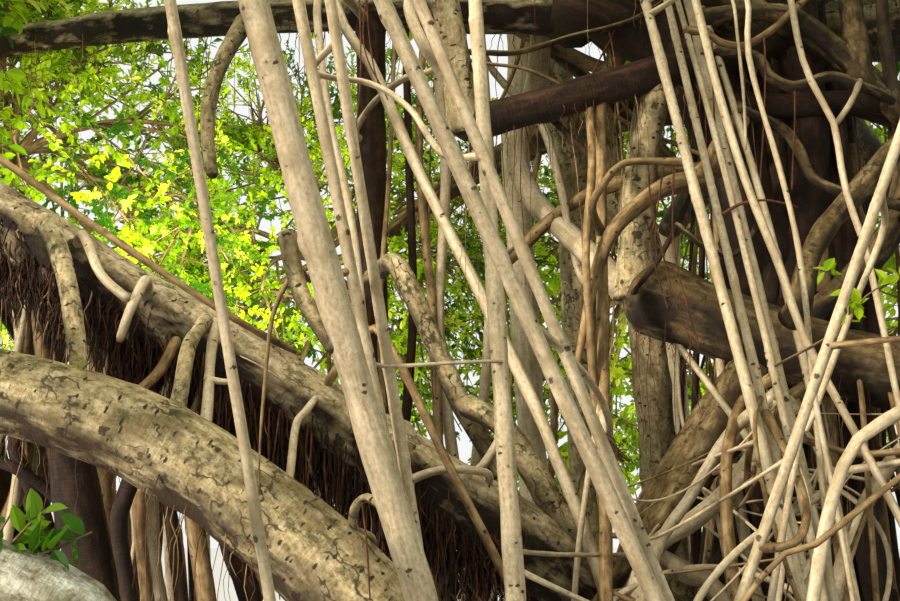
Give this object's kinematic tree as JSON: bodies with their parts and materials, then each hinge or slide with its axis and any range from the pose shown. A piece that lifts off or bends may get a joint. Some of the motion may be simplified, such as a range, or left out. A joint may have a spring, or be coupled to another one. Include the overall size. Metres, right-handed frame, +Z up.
{
  "type": "banyan tree",
  "caption": "Spreading banyan tree with a fluted trunk, long crooked boughs, slanting prop roots that stand as pillars, and a wide domed crown of foliage masses.",
  "frame": {"origin": "middle of the flat cut under the trunk, at ground level", "axes": "+Z up, +Y away from the side that the picture was taken from, +X to the right of that view"},
  "size_m": [21.1612, 21.2632, 12.4208],
  "materials": {
    "trunk_bark": "rough dark bark",
    "bough_bark": "smooth pale bark with marks",
    "pale_root_bark": "smooth pale root bark",
    "foliage": "satin leaves"
  },
  "bodies": {
    "root": {"back_bough": "bough_bark", "back_east_bough": "bough_bark", "back_pillar": "pale_root_bark", "back_west_bough": "bough_bark", "banded_pillar": "pale_root_bark", "bent_prop": "pale_root_bark", "bundled_pillars": "pale_root_bark", "counter_pillar": "pale_root_bark", "crossed_pillars": "pale_root_bark", "crown_leader": "bough_bark", "east_bough": "bough_bark", "east_pillar": "pale_root_bark", "elbow_bough": "bough_bark", "elbow_bough_riser": "bough_bark", "far_east_pillar": "pale_root_bark", "foliage_rim_0": "foliage", "foliage_rim_1": "foliage", "foliage_rim_10": "foliage", "foliage_rim_11": "foliage", "foliage_rim_2": "foliage", "foliage_rim_3": "foliage", "foliage_rim_4": "foliage", "foliage_rim_5": "foliage", "foliage_rim_6": "foliage", "foliage_rim_7": "foliage", "foliage_rim_8": "foliage", "foliage_rim_9": "foliage", "foliage_shoulder_0": "foliage", "foliage_shoulder_1": "foliage", "foliage_shoulder_2": "foliage", "foliage_shoulder_3": "foliage", "foliage_shoulder_4": "foliage", "foliage_top": "foliage", "front_bough": "bough_bark", "front_east_bough": "bough_bark", "front_west_bough": "bough_bark", "great_pillar": "pale_root_bark", "hoop_bough": "bough_bark", "link_stem": "bough_bark", "low_east_bough": "bough_bark", "low_east_bough_reach": "bough_bark", "low_west_stem": "bough_bark", "low_west_stem_reach": "bough_bark", "north_east_bough": "bough_bark", "north_east_pillar": "pale_root_bark", "north_west_bough": "bough_bark", "shaded_pillar": "pale_root_bark", "shaggy_pillar": "pale_root_bark", "shoulder_bough_back": "bough_bark", "shoulder_bough_east": "bough_bark", "shoulder_bough_front": "bough_bark", "shoulder_bough_west": "bough_bark", "slab_prop": "pale_root_bark", "slanting_pillar": "pale_root_bark", "slender_pillar": "pale_root_bark", "trunk": "trunk_bark", "twin_pillars": "pale_root_bark", "under_stem_pillar": "pale_root_bark", "upright_pillar": "pale_root_bark", "west_bough": "bough_bark"}
  },
  "joints": []
}
